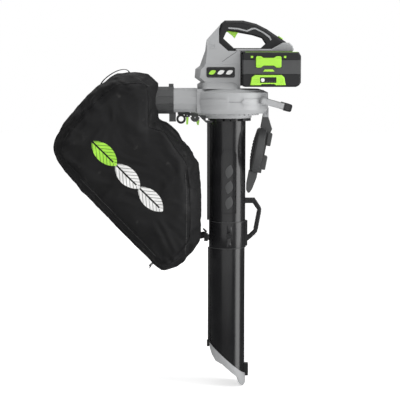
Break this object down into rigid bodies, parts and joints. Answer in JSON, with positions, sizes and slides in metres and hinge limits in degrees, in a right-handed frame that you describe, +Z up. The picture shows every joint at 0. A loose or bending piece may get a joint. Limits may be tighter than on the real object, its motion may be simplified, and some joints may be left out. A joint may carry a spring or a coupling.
{
  "type": "leaf vacuum mulcher",
  "caption": "Cordless leaf vacuum mulcher with a jointed suction tube, fan housing, closed handle, battery pack, side loop handle and a zipped leaf bag.",
  "frame": {"origin": "middle of the handle bar, where the machine is held", "axes": "+Z up along the suction tube, +X from the leaf bag towards the battery pack, -Y towards the pack's gauge"},
  "size_m": [0.658, 0.24, 1.015],
  "materials": {
    "casing_grey": "satin moulded plastic",
    "dark_grey": "fine textured plastic",
    "black_plastic": "fine textured plastic",
    "soft_grip": "grained soft overmould",
    "tube_black": "polished moulded plastic",
    "lime": "satin coloured plastic",
    "bag_fabric": "woven polyester",
    "webbing": "ribbed webbing",
    "seal_rubber": "matt",
    "steel": "brushed",
    "screw_black": "black oxide",
    "blade_steel": "ground",
    "fan_plastic": "glass filled nylon",
    "copper": "enamelled windings",
    "aluminium": "die cast",
    "board_green": "solder mask",
    "cell_wrap": "shrink wrap",
    "pale_button": "satin",
    "zip_black": "coil zip",
    "zip_metal": "dark nickel"
  },
  "bodies": {
    "machine": {"housing_front": "casing_grey", "housing_rear": "casing_grey", "handle_front": "black_plastic", "handle_rear": "black_plastic", "handle_trim": "casing_grey", "badge_plate": "black_plastic", "side_vent": "dark_grey", "switch_module": "black_plastic", "controller_board": "board_green", "scroll_upper": "casing_grey", "scroll_lower": "casing_grey", "inlet_ring": "casing_grey", "tube_gasket": "seal_rubber", "tube_clips": "black_plastic", "outlet_pipe": "casing_grey", "motor_can": "aluminium", "motor_stator": "copper", "bearings": "steel", "battery_bay": "black_plastic", "terminal_block": "black_plastic", "upper_tube_front": "tube_black", "upper_tube_rear": "tube_black", "lower_tube_front": "tube_black", "lower_tube_rear": "tube_black", "coupling_collar": "tube_black", "nozzle_guard": "casing_grey", "nozzle_clips": "black_plastic", "carry_handle": "black_plastic", "tube_adaptor": "dark_grey", "harness_eye": "black_plastic", "cover_bracket": "casing_grey", "hinge_pins": "steel", "screws": "screw_black"},
    "fan": {"motor_shaft": "steel", "impeller": "fan_plastic", "mulching_blade": "blade_steel"},
    "trigger_lever": {"trigger": "lime"},
    "speed_switch": {"speed_button": "lime"},
    "tube_release": {"tube_latch": "dark_grey", "tube_latch_tip": "lime"},
    "bag_release": {"pipe_latch": "lime"},
    "battery_pack": {"battery_base": "black_plastic", "battery_band": "dark_grey", "battery_lid": "black_plastic", "gauge_panel": "lime", "gauge_display": "black_plastic", "battery_cells": "cell_wrap"},
    "pack_release": {"battery_latch": "lime"},
    "gauge_switch": {"gauge_button": "pale_button"},
    "side_loop": {"loop_handle": "casing_grey", "loop_grip": "soft_grip"},
    "cover": {"inlet_cover": "dark_grey"},
    "leaf_bag": {"bag_collar": "dark_grey", "bag_shell": "bag_fabric", "bag_mouth": "bag_fabric", "loop_strap": "webbing", "tether_strap": "webbing", "tether_clip": "black_plastic", "zip_track": "zip_black"},
    "zip_runner": {"zip_slider": "zip_metal"}
  },
  "joints": [
    {"name": "fan_spin", "type": "hinge", "parent": "machine", "child": "fan", "pos_m": [-0.05, 0, -0.198], "axis": [0, 0, 1], "continuous": true},
    {"name": "trigger_pull", "type": "hinge", "parent": "machine", "child": "trigger_lever", "pos_m": [-0.051, 0, -0.008], "axis": [0, -1, 0], "range_deg": [0, 10], "stiffness_Nm_per_rad": 1.2, "springref_deg": -6.88},
    {"name": "speed_button_press", "type": "slide", "parent": "machine", "child": "speed_switch", "axis": [-0.549, 0, -0.8358], "range_m": [0, 0.0025], "stiffness_N_per_m": 800, "springref_m": -0.002},
    {"name": "tube_release_turn", "type": "hinge", "parent": "machine", "child": "tube_release", "pos_m": [-0.14, -0.008, -0.247], "axis": [0, 1, 0], "range_deg": [0, 15], "stiffness_Nm_per_rad": 0.6, "springref_deg": -8.59},
    {"name": "bag_release_turn", "type": "hinge", "parent": "machine", "child": "bag_release", "pos_m": [-0.161, -0.045, -0.2405], "axis": [0, -1, 0], "range_deg": [0, 12], "stiffness_Nm_per_rad": 0.5, "springref_deg": -8.59},
    {"name": "battery_slide", "type": "slide", "parent": "machine", "child": "battery_pack", "axis": [0, -1, 0], "range_m": [0, 0.12]},
    {"name": "pack_release_press", "type": "slide", "parent": "battery_pack", "child": "pack_release", "axis": [0, 1, 0], "range_m": [0, 0.003], "stiffness_N_per_m": 900, "springref_m": -0.002},
    {"name": "gauge_button_press", "type": "slide", "parent": "battery_pack", "child": "gauge_switch", "axis": [0, 1, 0], "range_m": [0, 0.0012], "stiffness_N_per_m": 600, "springref_m": -0.001},
    {"name": "side_loop_turn", "type": "hinge", "parent": "machine", "child": "side_loop", "pos_m": [0.045, 0, -0.201], "axis": [0, -1, 0], "range_deg": [-20, 25]},
    {"name": "cover_swing", "type": "hinge", "parent": "machine", "child": "cover", "pos_m": [0.054, 0, -0.241], "axis": [0, -1, 0], "range_deg": [0, 30]},
    {"name": "bag_slide", "type": "slide", "parent": "machine", "child": "leaf_bag", "axis": [-1, 0, 0], "range_m": [0, 0.05]},
    {"name": "zip_run", "type": "slide", "parent": "leaf_bag", "child": "zip_runner", "axis": [-0.6908, 0, 0.7231], "range_m": [0, 0.28]}
  ]
}
